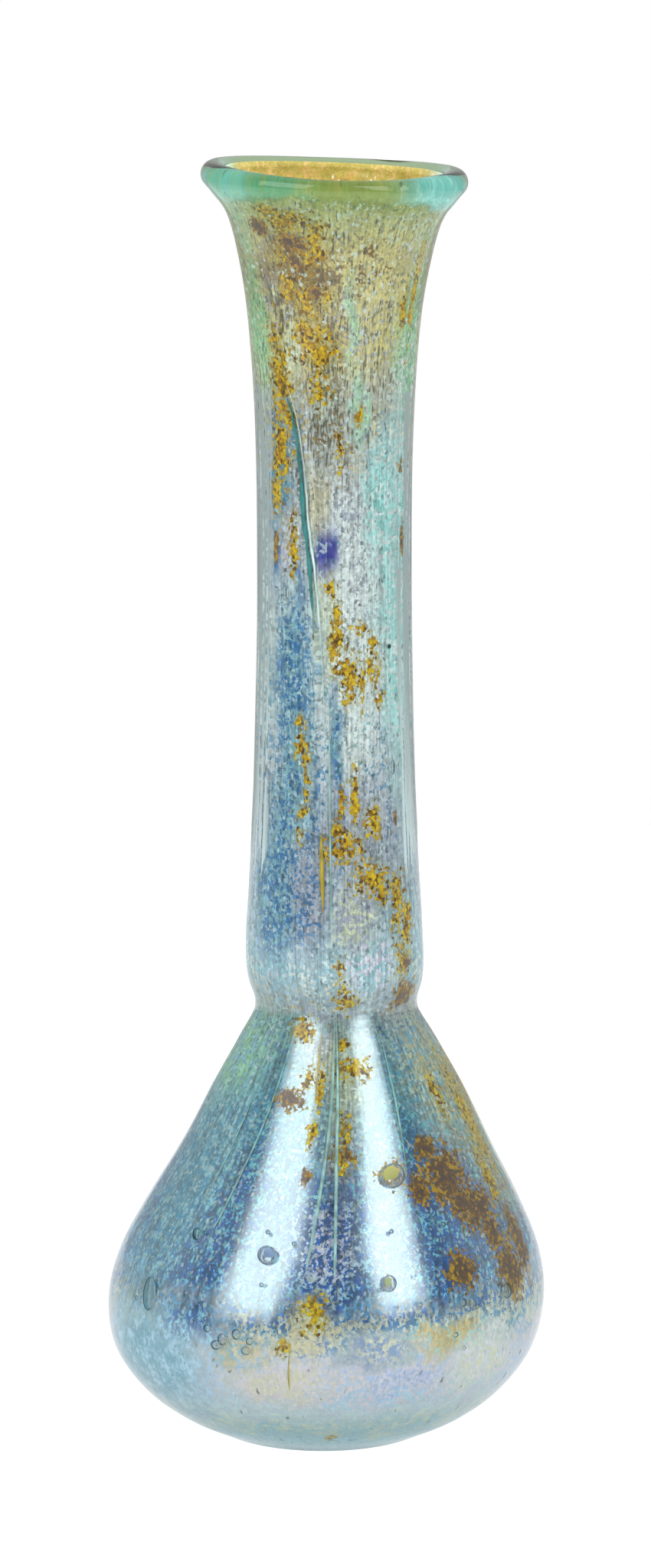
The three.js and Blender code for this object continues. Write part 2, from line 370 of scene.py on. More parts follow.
# Washes over them: angle from the front in degrees, height, half its width and its height, and the rest
# as for a band.
WASHES = [
    (-36, 118, 5, 1.5, "#84b082", OLIVE, 0.2, 0.0, 0.0),
    # The next two wash the lip's far left and right ends pale aqua, the right one with near-white flecks, as
    # painted highlights.
    (-80, 118, 5, 2, AQUA, SEA_GREEN, 0.4, 0.0, 0.0),
    (70, 118, 7, 1.5, AQUA, "#d8ecea", 0.4, 0.0, 0.0),
    (12, 118, 5, 1.5, OLIVE, SAND, 0.2, 0.0, 0.0),
    (-72, 108, 2.0, 9, SEA_GREEN, KHAKI, 0.3, 0.2, 0.1),
    (-26, 110.5, 4.0, 4.2, "#cbaa66", UMBER, 0.72, 0.5, 0.0),
    (-16, 104, 2.4, 4, "#d0b478", UMBER, 0.5, 0.5, 0.0),
    (-44, 106, 1.6, 4, KHAKI, LILAC_GREY, 0.5, 0.6, 0.0),
    (25, 111, 3.4, 4, KHAKI, UMBER, 0.3, 0.3, 0.0),
    (72, 105, 1.8, 9, SEA_GREEN, PEARL, 0.4, 0.2, 0.1),
    (12, 106, 0.5, 4, "#bcd4ae", LILAC_GREY, 0.3, 0.3, 0.1),
    (20, 98, 0.6, 4, "#b4d2b0", LILAC_GREY, 0.4, 0.3, 0.1),
    (-33, 103, 0.9, 2, CREAM, SEA_GREEN, 0.3, 0.0, 0.1),
    (-6, 97, 2.0, 4, "#c2bcae", UMBER, 0.36, 0.6, 0.1),
    (42, 87, 1.8, 9, AQUA, PEARL, 0.4, 0.1, 0.2),
    (62, 80, 1.6, 18, AQUA, PEARL, 0.4, 0.05, 0.2),
    (-50, 92, 1.6, 6, STEEL_TEAL, LILAC_GREY, 0.5, 0.1, 0.2),
    (-14, 89, 1.0, 3.4, BLUSH, CREAM, 0.3, 0.05, 0.2),
    (-29, 81.5, 0.8, 2.4, ROYAL_BLUE, LILAC_GREY, 0.3, 0.0, 0.3),
    (-58, 84, 0.8, 3.4, ROYAL_BLUE, LILAC_GREY, 0.4, 0.1, 0.3),
    (-44, 84, 0.7, 3.0, PINK_LILAC, BLUSH, 0.3, 0.0, 0.3),
    (-8, 79, 1.0, 5.5, CREAM, PEARL, 0.3, 0.0, 0.2),
    (-38, 73, 2.2, 8, POWDER_BLUE, ROYAL_BLUE, 0.5, 0.05, 0.3),
    (-34, 61, 2.2, 9, POWDER_BLUE, ROYAL_BLUE, 0.45, 0.05, 0.3),
    (-48, 52, 2.6, 8, POWDER_BLUE, ROYAL_BLUE, 0.5, 0.0, 0.3),
    (-20, 52, 2.0, 6, LILAC_GREY, ROYAL_BLUE, 0.4, 0.0, 0.3),
    (15, 82, 2.4, 6, PEARL, LILAC_GREY, 0.35, 0.05, 0.25),
    (17, 67, 2.2, 4, PEARL, POWDER_BLUE, 0.3, 0.0, 0.25),
    (3, 66, 0.5, 6, ROYAL_BLUE, POWDER_BLUE, 0.5, 0.0, 0.3),
    (0, 56, 0.4, 4, ROYAL_BLUE, LILAC_GREY, 0.5, 0.0, 0.3),
    (28, 45.5, 2.4, 3, PINK_LILAC, POWDER_BLUE, 0.5, 0.0, 0.3),
    (16, 51, 2.4, 4, LILAC_GREY, CREAM, 0.45, 0.1, 0.2),
    (-66, 26, 5, 11, STEEL_TEAL, POWDER_BLUE, 0.45, 0.05, 0.8),
    (-10, 37, 1.8, 2.4, LILAC_GREY, PINK_LILAC, 0.4, 0.0, 0.6),
    (2, 34, 2.0, 6, "#c4bfa6", CREAM, 0.5, 0.05, 0.5),
    (3, 28, 1.5, 4, LILAC_GREY, DEEP_BLUE, 0.5, 0.05, 0.7),
    (180, 112, 14, 7, "#93842a", "#9a6c1c", 0.42, 0.0, 0.0),
    (-2, 21, 3, 4, DEEP_BLUE, PINK_LILAC, 0.45, 0.1, 1.0),
    (60, 34, 3.6, 5, "#b9c6b2", STEEL_TEAL, 0.4, 0.0, 0.7),
    (88, 30, 6.0, 10, SAND, POWDER_BLUE, 0.5, 0.0, 0.4),
    (-95, 36, 7, 5, SEA_GREEN, POWDER_BLUE, 0.5, 0.0, 0.4),
    (-5, 13.4, 2.6, 2.0, "#eecca0", DEEP_BLUE, 0.34, 0.05, 0.4),
    (36, 12.8, 3.8, 1.5, "#e8b664", AQUA, 0.3, 0.0, 0.4),
    (-24, 11.8, 3.2, 1.3, "#e8be88", "#74abc6", 0.4, 0.0, 0.4),
    (14, 12.2, 3.0, 1.3, DEEP_BLUE, "#e8c8a0", 0.45, 0.1, 0.8),
    (-42, 13.5, 4.0, 2.0, DEEP_BLUE, "#9cd0ea", 0.42, 0.1, 0.8),
    (-8, 84.4, 0.9, 2.3, VIOLET, ROYAL_BLUE, 0.3, 0.0, 0.3),
    (24, 9.4, 3.2, 1.4, "#f0dcf0", "#b8b0e0", 0.5, 0.0, 0.4),
    (-14, 9, 5, 2, "#f8dcc0", "#f6d0d8", 0.45, 0.0, 0.3),
    (-60, 9.5, 8, 4, "#74abc6", "#c8dcf0", 0.4, 0.0, 0.4),
    (50, 10, 4, 2.5, PALE_PINK, PALE_CREAM, 0.5, 0.0, 0.3),
]
# Stains and crusts: angle, height, half the width and half the height.
GOLD_STAINS = [
    (-46, 99.5, 1.1, 5), (-50, 93.5, 0.9, 3.5), (-56, 90, 0.7, 2.5), (-22, 108, 0.9, 1.5),
    (-30, 114.5, 1.8, 0.9), (-12, 113, 1.0, 1.6), (-12, 103, 1.2, 1.5), (-20, 104.5, 1.1, 2.4),
    (57, 107, 0.4, 2), (68, 109, 0.4, 5), (-12, 99, 0.8, 1.2), (-40, 115.5, 1.2, 0.7),
    (-32, 109, 1.0, 1.4), (-18, 111.5, 1.0, 1.0), (-6, 108, 0.5, 0.8), (-38, 111.5, 0.9, 0.9),
    (4, 93.5, 0.4, 1.6), (21, 97, 0.4, 0.8), (-37, 84.4, 0.4, 2.6), (-56, 85.8, 0.7, 0.4),
    (-4, 81.4, 0.5, 0.8), (2, 78.2, 0.4, 1.6), (1, 75.6, 0.5, 0.7), (0, 74, 0.4, 0.8),
    (13, 73, 0.8, 1.8), (34, 76, 0.4, 0.8), (34, 73.4, 0.9, 1.3), (21, 77.4, 0.6, 0.4),
    (23, 72, 0.3, 2), (40, 70.3, 0.4, 0.6), (13, 70.6, 0.5, 0.6), (-30, 68.4, 0.5, 0.7),
    (-30, 66.2, 0.6, 1.1), (-24, 65.0, 0.4, 1.1), (-23, 62.4, 0.35, 1.0), (-26, 60.3, 0.6, 0.5),
    (-29, 58.0, 0.4, 0.9), (6, 61, 0.35, 1.6), (16, 61.5, 0.35, 2.4), (31, 59.5, 0.7, 1.1),
    (36, 58.6, 0.4, 1.0), (8, 56.5, 1.5, 1.3), (2, 58.5, 0.5, 0.8), (30, 53.6, 1.5, 1.3),
    (40, 52.4, 0.7, 1.0), (53, 51, 0.7, 2.8), (63, 49, 0.6, 3.6), (58, 46, 0.9, 1.8),
    (4, 45.8, 0.4, 0.7), (5, 43.6, 0.4, 0.7), (8, 42.6, 0.7, 0.9), (-26, 39.3, 1.0, 1.0),
    (-17, 35.2, 0.6, 1.0), (-10, 34.4, 0.35, 1.8), (10, 36, 1.4, 0.8), (4, 38.2, 0.5, 0.5),
    (3, 31.2, 0.6, 1.0), (2, 28.6, 1.0, 1.2), (-12, 30.6, 0.4, 1.4), (80, 30, 1.0, 5),
    (72, 25, 0.8, 2.5), (60, 33, 0.6, 2), (96, 32, 1.0, 3), (22, 27.1, 1.0, 1.0), (-4, 15.5, 1.2, 1.4),
    (-12, 12.4, 0.8, 0.6), (3, 3.9, 0.5, 0.2), (17, 18.1, 0.5, 0.5),
]
CRUSTS = [
    (47, 26, 2.9, 2.8), (41, 28.8, 1.4, 1.2), (57, 22.8, 2.6, 2.3), (33, 25.4, 1.1, 1.6),
    (50, 23.5, 1.6, 1.6), (42, 18.2, 2.0, 1.8), (64, 17, 2.2, 2.8), (60, 20.5, 1.4, 1.8),
    (74, 19, 1.4, 3.5), (-26, 33.3, 1.5, 1.0), (-12, 26.8, 0.6, 0.9), (4, 28.9, 0.6, 0.7),
    (63, 42.6, 1.5, 1.3), (61, 45.6, 0.6, 0.9), (-26, 111, 0.8, 0.8), (-50, 114, 1.2, 0.9),
    (-14, 108.6, 0.6, 0.7), (-28, 112.8, 1.6, 0.8), (70, 85, 0.4, 1.6), (66, 92, 0.4, 0.8),
    (55, 59, 0.3, 0.8), (-57, 84.5, 0.35, 1.6),
]


def smoothed(outline, steps):
    """The outline as a Catmull-Rom curve with this many steps between its points."""
    points = np.array(outline)
    before = np.concatenate([points[:1], points[:-1]])[:-1]
    after = np.concatenate([points[1:], points[-1:]])[1:]
    start, end = points[:-1], points[1:]
    square = 2 * before - 5 * start + 4 * end - after
    cube = 3 * start - before - 3 * end + after
    curve = []
    for t in np.arange(steps) / steps:
        curve.append(0.5 * (2 * start + (end - before) * t + square * t ** 2 + cube * t ** 3))
    return np.stack(curve, axis=1).reshape(-1, 2).tolist() + [list(outline[-1])]


def spread(spots, angle, height, radius):
    """How deep each point lies in the nearest spot: 1 at its middle, 0 at its edge, less beyond."""
    depth = np.full(len(angle), -9.0)
    for spot_angle, spot_height, across, up in spots:
        away = np.radians((angle - spot_angle + 180) % 360 - 180) * radius / across
        depth = np.maximum(depth, 1 - np.hypot(away, (height - spot_height) / up))
    return depth


coated = lip_arc(FILM_START, 2) + INNER_OUTLINE
film_face = smoothed(inset(coated, FILM_GAP)[::-1], FILM_FACE_STEPS)
film_back = smoothed(inset(coated, FILM_DEPTH), FILM_BACK_STEPS)
film_section = film_face + film_back

film = bpy.data.materials.new("weathered_film_with_crusts")
film.use_nodes = True
film_mesh, points = turned("weathering_film", film_section, FILM_SEGMENTS, 1, film)
front_angle = np.degrees(np.arctan2(points[:, 0], -points[:, 1]))
wall_height = points[:, 2]
wall_radius = np.hypot(points[:, 0], points[:, 1])
off_centre = np.maximum(wall_radius, 1)

# The edges of bands and washes wander by up to a millimetre or so, in a coarse noise and a fine one.
COARSE_PER_MM = 0.35
FINE_SHARE = 0.6
WANDER_ACROSS = 0.9
WANDER_UP = 1.2
WASH_EDGE = (-0.5, 0.6)
WANDER_SEED = 1
noise.seed_set(WANDER_SEED)  # without it the noise draws its offset from the clock
wander = np.array([noise.noise_vector(Vector(p) * COARSE_PER_MM) + noise.noise_vector(Vector(p)) * FINE_SHARE
                   for p in points])
patch_angle = front_angle + np.degrees(wander[:, 0] * WANDER_ACROSS / off_centre)
patch_height = wall_height + wander[:, 1] * WANDER_UP


def finish_values(entry):
    """The nine numbers of a band's or a wash's finish."""
    ground, flecks, share, specks, lustre = entry
    return np.array(linear(ground)[:3] + linear(flecks)[:3] + [share, specks, lustre])


band_heights = [band[0] for band in BANDS]
band_values = np.array([finish_values(band[1:]) for band in BANDS])
skin = np.stack([np.interp(patch_height, band_heights, values) for values in band_values.T], axis=1)
for angle, height, across, up, *entry in WASHES:
    depth = spread([(angle, height, across, up)], patch_angle, patch_height, wall_radius)
    cover = smoothstep(depth, *WASH_EDGE)
    skin += cover[:, None] * (finish_values(entry) - skin)


def keep(mesh, name, values):
    """Store a value or a colour for each point of the mesh."""
    colour = values.ndim == 2
    attribute = mesh.attributes.new(name, "FLOAT_COLOR" if colour else "FLOAT", "POINT")
    if colour:
        values = np.concatenate([values, np.ones((len(values), 1))], axis=1)
    attribute.data.foreach_set("color" if colour else "value", values.astype(np.float32).ravel())


keep(film_mesh, "ground", skin[:, 0:3])
keep(film_mesh, "flecks", skin[:, 3:6])
keep(film_mesh, "fleck_share", skin[:, 6])
keep(film_mesh, "speck_share", skin[:, 7])
keep(film_mesh, "lustre", skin[:, 8])
gold_depth = spread(GOLD_STAINS, front_angle, wall_height, wall_radius)
crust_depth = spread(CRUSTS, front_angle, wall_height, wall_radius)
keep(film_mesh, "gold", np.clip(gold_depth, -2, 1))
keep(film_mesh, "crust", np.clip(crust_depth, -2, 1))
keep(film_mesh, "brushing", smoothstep(wall_height, 10, 16) - smoothstep(wall_height, 116, 118))

# Places on a straight tube, where what is drawn up the wall runs straight along the meridians.
TUBE_RADIUS = 15
round_axis = np.radians(front_angle)
on_tube = [TUBE_RADIUS * np.sin(round_axis), -TUBE_RADIUS * np.cos(round_axis), wall_height]
keep(film_mesh, "meridian", np.stack(on_tube, axis=1))

# Stains and crusts grip the glass, and so does the whole film in the body, the mouth and the lip, and in
# streaks along the neck. Elsewhere it lies loose behind the glass. Each grip sets in or fades out between
# two heights in millimetres, and at a stain between two depths in it.
STREAKS_ROUND = 14
STREAKS_UP = 0.06
BODY_GRIP = (48, 58)
NECK_GRIP = (42, 50)
MOUTH_GRIP = (95, 103)
LIP_GRIP = (115, 116)
STAIN_GRIP = (-0.2, 0.4)
outward = points * (1, 1, 0) / off_centre[:, None]
outward[:, 2] = -(1 - smoothstep(wall_height, 3.5, 10))
drawn_up = [points[:, 0] / off_centre * STREAKS_ROUND, points[:, 1] / off_centre * STREAKS_ROUND,
            points[:, 2] * STREAKS_UP]
streaky = np.array([noise.noise(Vector(p)) for p in zip(*drawn_up)])
in_lip = smoothstep(wall_height, *LIP_GRIP)
held = smoothstep(streaky, 0.05, 0.3) * smoothstep(wall_height, *NECK_GRIP)
held = np.maximum(held, smoothstep(patch_height + 3 * streaky, *MOUTH_GRIP))
held *= 1 - in_lip
held = np.maximum(held, 1 - smoothstep(patch_height + 9 * streaky, *BODY_GRIP))
held = np.maximum(held, in_lip)
held = np.maximum(held, smoothstep(np.maximum(crust_depth, gold_depth), *STAIN_GRIP))
grip = CRUST_GRIP * held
set_points(film_mesh, hand_shaped(points + outward * grip[:, None]))

# Its material: leached silica, matt in the neck and lustrous as mother-of-pearl in the body, built of
# grains a quarter of a millimetre wide that differ in colour, as layers of unequal thickness do. Sizes
# are in millimetres, and the edges are where a stain or a crust begins in its ragged depth.
GRAIN_WIDTH = 0.24
GRAIN_LENGTH = 0.34
FLECK_SIZE = 0.33
CLOUD_SIZE = 1.1
GRIT_SIZE = 0.23
TICK_WIDTH = 0.4
TICK_LENGTH = 0.8
STREAK_WIDTH = 0.42
STREAK_LENGTH = 8
RELIEF = 0.15
GRAIN_VOTE = 0.35
MOTTLE_MIDDLE = 1.66
RAGGEDNESS = 2.6
HALO_EDGE = 2.1
GOLD_EDGE = 2.7
CRUST_EDGE = 1.34

tree = film.node_tree
shader = tree.nodes["Principled BSDF"]
finish = {name: add_node(tree, "ShaderNodeAttribute", attribute_name=name).outputs for name in (
    "ground", "flecks", "fleck_share", "speck_share", "lustre", "gold", "crust", "brushing", "meridian")}
here = add_node(tree, "ShaderNodeTexCoord").outputs["Object"]
fleck = add_node(tree, "ShaderNodeTexNoise",
                 {"Vector": here, "Scale": 1 / (FLECK_SIZE * MM), "Detail": 3.0, "Roughness": 0.6})
cloud = add_node(tree, "ShaderNodeTexNoise",
                 {"Vector": here, "Scale": 1 / (CLOUD_SIZE * MM), "Detail": 3.0, "Roughness": 0.6})
grit = add_node(tree, "ShaderNodeTexNoise",
                {"Vector": here, "Scale": 1 / (GRIT_SIZE * MM), "Detail": 2.0, "Roughness": 0.6})
meridian = finish["meridian"]["Vector"]
ticks = (1 / TICK_WIDTH, 1 / TICK_WIDTH, 1 / TICK_LENGTH)
ticks = add_node(tree, "ShaderNodeVectorMath", {0: meridian, 1: ticks}, operation="MULTIPLY")
ticks = add_node(tree, "ShaderNodeTexNoise", {"Vector": ticks, "Scale": 0.8, "Detail": 2.0})
streak = (1 / STREAK_WIDTH, 1 / STREAK_WIDTH, 1 / STREAK_LENGTH)
streak = add_node(tree, "ShaderNodeVectorMath", {0: meridian, 1: streak}, operation="MULTIPLY")
streak = add_node(tree, "ShaderNodeTexNoise",
                  {"Vector": streak, "Scale": 1.0, "Detail": 2.0, "Roughness": 0.6})
streak = add_node(tree, "ShaderNodeMix",
                  {"Factor": finish["brushing"]["Fac"], 2: cloud.outputs[0], 3: streak.outputs[0]})

# The grains: cells with crooked sides, each with three chance values
grains = add_node(tree, "ShaderNodeVectorMath", {0: here, 1: (
    1 / (GRAIN_WIDTH * MM), 1 / (GRAIN_WIDTH * MM), 1 / (GRAIN_LENGTH * MM))}, operation="MULTIPLY")
crooked = add_node(tree, "ShaderNodeTexNoise", {"Vector": grains, "Scale": 1.3, "Detail": 1.0})
grains = add_node(tree, "ShaderNodeVectorMath", {0: grains, 1: crooked.outputs["Color"]}, operation="ADD")
grains = add_node(tree, "ShaderNodeTexVoronoi", {"Vector": grains, "Scale": 1.0}).outputs["Color"]
chance = add_node(tree, "ShaderNodeSeparateColor", {"Color": grains}).outputs

# Flecks: sharp grains where the film is brushed, soft clouds in the belly and at the lip
mottle = add_node(tree, "ShaderNodeMath", {0: chance["Red"], 1: GRAIN_VOTE}, operation="MULTIPLY")
mottle = add_node(tree, "ShaderNodeMath", {0: mottle, 1: fleck}, operation="ADD")
mottle = add_node(tree, "ShaderNodeMath", {0: mottle, 1: cloud}, operation="ADD")
mottle = add_node(tree, "ShaderNodeMath", {0: mottle, 1: finish["fleck_share"]["Fac"]}, operation="ADD")
mottle = add_node(tree, "ShaderNodeMath", {0: mottle, 1: MOTTLE_MIDDLE}, operation="SUBTRACT")
sharp = add_node(tree, "ShaderNodeMapRange", {"Value": finish["brushing"]["Fac"], 3: 2.6, 4: 10.0})
mottle = add_node(tree, "ShaderNodeMath", {0: mottle, 1: sharp}, operation="MULTIPLY")
mottle = add_node(tree, "ShaderNodeMath", {0: mottle, 1: 0.5}, operation="ADD", use_clamp=True)
colour = add_node(tree, "ShaderNodeMix", {
    "Factor": mottle, 6: finish["ground"]["Color"], 7: finish["flecks"]["Color"]}, data_type="RGBA")

# Dark ticks of soil drawn up the wall, and light that changes from grain to grain and in faint streaks
speck = add_node(tree, "ShaderNodeMath", {0: finish["speck_share"]["Fac"], 1: 0.3}, operation="MULTIPLY")
speck = add_node(tree, "ShaderNodeMath", {0: speck, 1: ticks}, operation="ADD")
speck = add_node(tree, "ShaderNodeMapRange", {"Value": speck, 1: 0.69, 2: 0.75, 4: 0.85})
colour = add_node(tree, "ShaderNodeMix", {"Factor": speck, 6: colour, 7: linear("#6b5c4a")}, data_type="RGBA")
light = add_node(tree, "ShaderNodeMath", {0: grit, 1: chance["Green"]}, operation="ADD")
light = add_node(tree, "ShaderNodeMath", {0: light, 1: GRAIN_VOTE}, operation="MULTIPLY")
light = add_node(tree, "ShaderNodeMath", {0: light, 1: streak}, operation="ADD")
light = add_node(tree, "ShaderNodeMapRange", {"Value": light, 1: 0.6, 2: 1.1, 3: -0.36, 4: 0.36})
faint = add_node(tree, "ShaderNodeMapRange", {"Value": finish["brushing"]["Fac"], 3: 0.3, 4: 1.0})
lustrous = add_node(tree, "ShaderNodeMapRange", {"Value": finish["lustre"]["Fac"], 3: 0.8, 4: 1.6})
faint = add_node(tree, "ShaderNodeMath", {0: faint, 1: lustrous}, operation="MULTIPLY")
light = add_node(tree, "ShaderNodeMath", {0: light, 1: faint}, operation="MULTIPLY")
light = add_node(tree, "ShaderNodeMath", {0: light, 1: 1.0}, operation="ADD")
colour = add_node(tree, "ShaderNodeVectorMath", {0: colour, "Scale": light}, operation="SCALE")
# Painted light in the brushed film: a few grains turn near-white as painted glints, and a few near-black as
# the painted shade of pits.
painted_glint = add_node(tree, "ShaderNodeMapRange", {"Value": chance["Blue"], 1: 0.9, 2: 0.94, 4: 0.6})
painted_glint = add_node(tree, "ShaderNodeMath", {0: painted_glint, 1: finish["brushing"]["Fac"]}, operation="MULTIPLY")
colour = add_node(tree, "ShaderNodeMix", {"Factor": painted_glint, 6: colour, 7: linear("#eef2f0")}, data_type="RGBA")
painted_pit_shade = add_node(tree, "ShaderNodeMapRange", {"Value": chance["Blue"], 1: 0.08, 2: 0.05, 4: 0.5})
painted_pit_shade = add_node(tree, "ShaderNodeMath", {0: painted_pit_shade, 1: finish["brushing"]["Fac"]}, operation="MULTIPLY")
colour = add_node(tree, "ShaderNodeMix", {"Factor": painted_pit_shade, 6: colour, 7: linear("#2c3a48")}, data_type="RGBA")

# Gold stains: a faint yellow halo, then grains of yellow, amber and brown
ragged = add_node(tree, "ShaderNodeMath", {0: fleck, 1: chance["Red"]}, operation="ADD")
ragged = add_node(tree, "ShaderNodeMath", {0: ragged, 1: 0.5}, operation="MULTIPLY")
ragged = add_node(tree, "ShaderNodeMath", {0: ragged, 1: cloud}, operation="ADD")
ragged = add_node(tree, "ShaderNodeMath", {0: ragged, 1: RAGGEDNESS}, operation="MULTIPLY")
gold = add_node(tree, "ShaderNodeMath", {0: ragged, 1: finish["gold"]["Fac"]}, operation="ADD")
halo = add_node(tree, "ShaderNodeMapRange", {"Value": gold, 1: HALO_EDGE, 2: GOLD_EDGE, 4: 0.5})
colour = add_node(tree, "ShaderNodeMix", {"Factor": halo, 6: colour, 7: linear("#d6c068")}, data_type="RGBA")
gold_cover = add_node(tree, "ShaderNodeMapRange", {"Value": gold, 1: GOLD_EDGE, 2: GOLD_EDGE + 0.1})
amber = add_node(tree, "ShaderNodeMath", {0: grit, 1: chance["Green"]}, operation="ADD")
amber = add_node(tree, "ShaderNodeMapRange", {"Value": amber, 1: 0.6, 2: 1.45})
gold_ramp = add_node(tree, "ShaderNodeValToRGB", {0: amber})
gold_ramp.color_ramp.elements[0].color = linear("#f4c41a")
gold_ramp.color_ramp.elements[1].color = linear("#6a4108")
gold_ramp.color_ramp.elements.new(0.5).color = linear("#cf9210")
colour = add_node(tree, "ShaderNodeMix", {"Factor": gold_cover, 6: colour, 7: gold_ramp}, data_type="RGBA")

# Crusts: ochre at the rim, then sienna, and purple-brown at the core
crust = add_node(tree, "ShaderNodeMath", {0: ragged, 1: 0.5}, operation="MULTIPLY")
crust = add_node(tree, "ShaderNodeMath", {0: crust, 1: finish["crust"]["Fac"]}, operation="ADD")
crust_cover = add_node(tree, "ShaderNodeMapRange", {"Value": crust, 1: CRUST_EDGE, 2: CRUST_EDGE + 0.08})
core = add_node(tree, "ShaderNodeMath", {0: amber, 1: crust}, operation="ADD")
core = add_node(tree, "ShaderNodeMapRange", {"Value": core, 1: 1.8, 2: 2.8})
crust_ramp = add_node(tree, "ShaderNodeValToRGB", {0: core})
crust_ramp.color_ramp.elements[0].color = linear("#cf962e")
crust_ramp.color_ramp.elements[1].color = linear("#6c5248")
crust_ramp.color_ramp.elements.new(0.4).color = linear("#8c5c36")
colour = add_node(tree, "ShaderNodeMix", {"Factor": crust_cover, 6: colour, 7: crust_ramp}, data_type="RGBA")
tree.links.new(colour.outputs[2], shader.inputs["Base Color"])

# The film shines, stains and crusts don't, and every grain stands a little higher or lower than the next
stain = add_node(tree, "ShaderNodeMath", {0: gold_cover, 1: crust_cover}, operation="MAXIMUM")
bare = add_node(tree, "ShaderNodeMath", {0: 1.0, 1: stain}, operation="SUBTRACT")
lustre = add_node(tree, "ShaderNodeMath", {0: finish["lustre"]["Fac"], 1: bare}, operation="MULTIPLY")
metallic = add_node(tree, "ShaderNodeMath", {0: lustre, 1: 0.15}, operation="MULTIPLY")
tree.links.new(metallic.outputs[0], shader.inputs["Metallic"])
tree.links.new(lustre.outputs[0], shader.inputs["Coat Weight"])
shader.inputs["Coat IOR"].default_value = 4.0
shader.inputs["Coat Roughness"].default_value = 0.18
rough = add_node(tree, "ShaderNodeMapRange", {"Value": lustre, 3: 0.7, 4: 0.25})
tree.links.new(rough.outputs[0], shader.inputs["Roughness"])
relief = add_node(tree, "ShaderNodeMath", {0: streak, 1: 0.8}, operation="MULTIPLY")
relief = add_node(tree, "ShaderNodeMath", {0: relief, 1: cloud}, operation="ADD")
fine = add_node(tree, "ShaderNodeMath", {0: fleck, 1: chance["Green"]}, operation="ADD")
fine = add_node(tree, "ShaderNodeMath", {0: fine, 1: GRAIN_VOTE}, operation="MULTIPLY")
relief = add_node(tree, "ShaderNodeMath", {0: relief, 1: fine}, operation="ADD")
relief = add_node(tree, "ShaderNodeMath", {0: relief, 1: stain}, operation="ADD")
relief = add_node(tree, "ShaderNodeBump", {"Height": relief, "Distance": RELIEF * MM, "Strength": 1.0})
tree.links.new(relief.outputs[0], shader.inputs["Normal"])

coating = stand(film_mesh)


# ---- Bubbles and cords in the wall -----------------------------------------------------------------------
# Air caught in the gather stays in the wall as bubbles, flattened and drawn out by the blowing, and
# poorly melted glass as cords, pale threads that run up the body to the throat. Depths in the wall go
# from 0 at its outer face to 1 at its inner one.
BUBBLE_DEPTH = 0.55
LINING_DEPTH = 0.8
LINING_THICKNESS = 0.2
CORD_DEPTH = 0.88


def in_wall(angle, height, depth):
    """A place in the wall, in millimetres."""
    outer = np.interp(height, *zip(*OUTER_OUTLINE))
    inner = np.interp(height, *zip(*INNER_OUTLINE[::-1]))
    radius = outer + (inner - outer) * depth
    turn = math.radians(angle)
    return radius * math.sin(turn), -radius * math.cos(turn), height


def guide(name, places, edges=()):
    """A mesh of bare points or lines at these places in millimetres, for a tree to build on."""
    base = bpy.data.meshes.new(name)
    base.from_pydata([Vector(p) * MM for p in places], edges, [])
    return base


def keep_swell(base, centres, sizes):
    """Store for each point the way out from the axis, and the thickness, width and length there."""
    outward = centres * (1, 1, 0) / np.hypot(centres[:, 0], centres[:, 1])[:, None]
    for name, values in (("outward", outward), ("swell", np.array(sizes))):
        base.attributes.new(name, "FLOAT_VECTOR", "POINT").data.foreach_set("vector", values.ravel())


bubbles, given = new_tree("bubbles", [("Places", "Geometry"), ("Material", "Material")])
bubble = add_node(bubbles, "GeometryNodeMeshIcoSphere", {"Radius": 0.5 * MM, "Subdivisions": 3})
outward = add_node(bubbles, "GeometryNodeInputNamedAttribute", {"Name": "outward"}, data_type="FLOAT_VECTOR")
swell = add_node(bubbles, "GeometryNodeInputNamedAttribute", {"Name": "swell"}, data_type="FLOAT_VECTOR")
facing = add_node(bubbles, "FunctionNodeAlignEulerToVector", {"Vector": outward}, axis="X", pivot_axis="Z")
many = add_node(bubbles, "GeometryNodeInstanceOnPoints",
                {"Points": given["Places"], "Instance": bubble, "Rotation": facing, "Scale": swell})
many = add_node(bubbles, "GeometryNodeRealizeInstances", {"Geometry": many})
many = add_node(bubbles, "GeometryNodeFlipFaces", {"Mesh": many})
many = add_node(bubbles, "GeometryNodeSetShadeSmooth", {"Geometry": many})
many = add_node(bubbles, "GeometryNodeSetMaterial", {"Geometry": many, "Material": given["Material"]})
add_node(bubbles, "NodeGroupOutput", {0: many})

# Bubbles: angle, height, thickness, width and length in millimetres.
BUBBLES = [
    (22, 27.1, 0.5, 2.4, 2.5), (17, 18.1, 0.35, 1.4, 1.6), (-20, 20.4, 0.4, 1.9, 1.9),
    (-58, 15.3, 0.5, 2.0, 3.2), (-47, 21.2, 0.6, 1.2, 1.4), (-29, 12.8, 0.6, 1.0, 1.1),
    (-25, 13.4, 0.6, 0.9, 1.0), (-21, 12.9, 0.5, 0.7, 0.7), (-31, 12.2, 0.6, 1.0, 0.9),
    (-22, 12.0, 0.5, 0.9, 0.8), (38, 22.5, 0.4, 0.5, 0.5), (40, 15.6, 0.5, 0.8, 0.8),
    (26, 16.0, 0.4, 0.5, 0.5), (37, 12.9, 0.4, 0.6, 0.5), (58, 15.6, 0.7, 1.4, 1.5),
    (-34, 13.6, 0.5, 0.8, 0.8),
]
